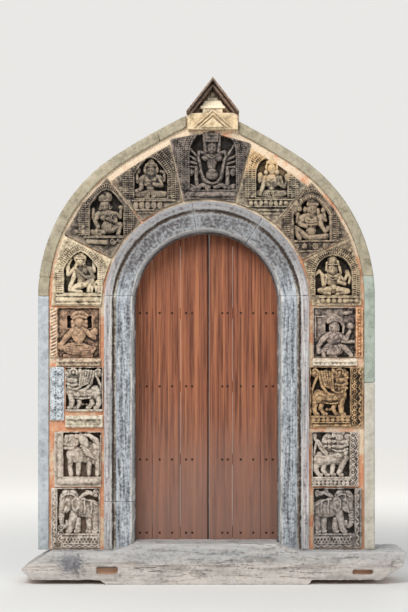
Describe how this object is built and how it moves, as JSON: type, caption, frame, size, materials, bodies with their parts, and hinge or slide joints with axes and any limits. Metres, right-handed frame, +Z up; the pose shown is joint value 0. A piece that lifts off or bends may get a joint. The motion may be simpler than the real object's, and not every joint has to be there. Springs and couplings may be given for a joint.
{
  "type": "carved temple door",
  "caption": "Carved stone doorway of a temple: moulded arch and jambs ringed by relief panels of deities, lions and elephants, with nailed plank leaves that open inwards.",
  "frame": {"origin": "centre of the sill's bed, on the ground and in the middle of the doorway", "axes": "+Z up, X along the wall, the carved face looks along -Y"},
  "size_m": [3.045, 0.46, 4.0166],
  "materials": {
    "dark_stone": "weathered, dry brushed",
    "grey_stone": "weathered",
    "cream_stone": "weathered",
    "tan_stone": "weathered",
    "surround_stone": "worn, lichen patches",
    "band_stone": "dressed, weathered",
    "sill_stone": "worn smooth",
    "mortar": "rough lime and brick dust",
    "beam_wood": "aged",
    "door_wood": "aged, dry",
    "iron": "forged, rusted"
  },
  "bodies": {
    "surround": {"carving_centre": "dark_stone", "carving_left_1": "dark_stone", "carving_left_2": "dark_stone", "carving_right_2": "dark_stone", "carving_right_1": "grey_stone", "carving_right_3": "grey_stone", "carving_right_4": "grey_stone", "carving_right_6": "grey_stone", "carving_right_7": "grey_stone", "scroll_block": "grey_stone", "gable_hood": "grey_stone", "carving_left_3": "cream_stone", "pinnacle_block": "cream_stone", "lion_slab": "cream_stone", "slab_left": "cream_stone", "slab_right": "cream_stone", "carving_left_4": "tan_stone", "carving_left_5": "tan_stone", "carving_left_6": "tan_stone", "carving_left_7": "tan_stone", "carving_right_5": "tan_stone", "rope_border_left": "tan_stone", "rope_border_right": "tan_stone", "jamb_base_left": "surround_stone", "jamb_left": "surround_stone", "jamb_right": "surround_stone", "arch_stone_left": "surround_stone", "arch_stone_crown": "surround_stone", "arch_stone_right": "surround_stone", "band_left_lower": "band_stone", "band_left_middle": "band_stone", "band_left_arch": "band_stone", "band_left_upper": "band_stone", "band_right_lower": "band_stone", "band_right_middle": "band_stone", "band_right_arch": "band_stone", "threshold_stone": "sill_stone", "mortar_bed_left": "mortar", "mortar_bed_right": "mortar", "head_beam": "beam_wood"},
    "leaf_left": {"stile_left": "door_wood", "plank_left_1": "door_wood", "plank_left_2": "door_wood", "plank_left_3": "door_wood", "ledge_left_1": "door_wood", "ledge_left_2": "door_wood", "ledge_left_3": "door_wood", "ledge_left_4": "door_wood", "ledge_left_5": "door_wood", "nails_left": "iron"},
    "leaf_right": {"stile_right": "door_wood", "plank_right_1": "door_wood", "plank_right_2": "door_wood", "plank_right_3": "door_wood", "ledge_right_1": "door_wood", "ledge_right_2": "door_wood", "ledge_right_3": "door_wood", "ledge_right_4": "door_wood", "ledge_right_5": "door_wood", "nails_right": "iron"}
  },
  "joints": [
    {"name": "left_leaf_hinge", "type": "hinge", "parent": "surround", "child": "leaf_left", "pos_m": [-0.62, 0.1005, 0.262], "axis": [0, 0, 1], "range_deg": [0, 95]},
    {"name": "right_leaf_hinge", "type": "hinge", "parent": "surround", "child": "leaf_right", "pos_m": [0.62, 0.1005, 0.262], "axis": [0, 0, -1], "range_deg": [0, 95]}
  ]
}
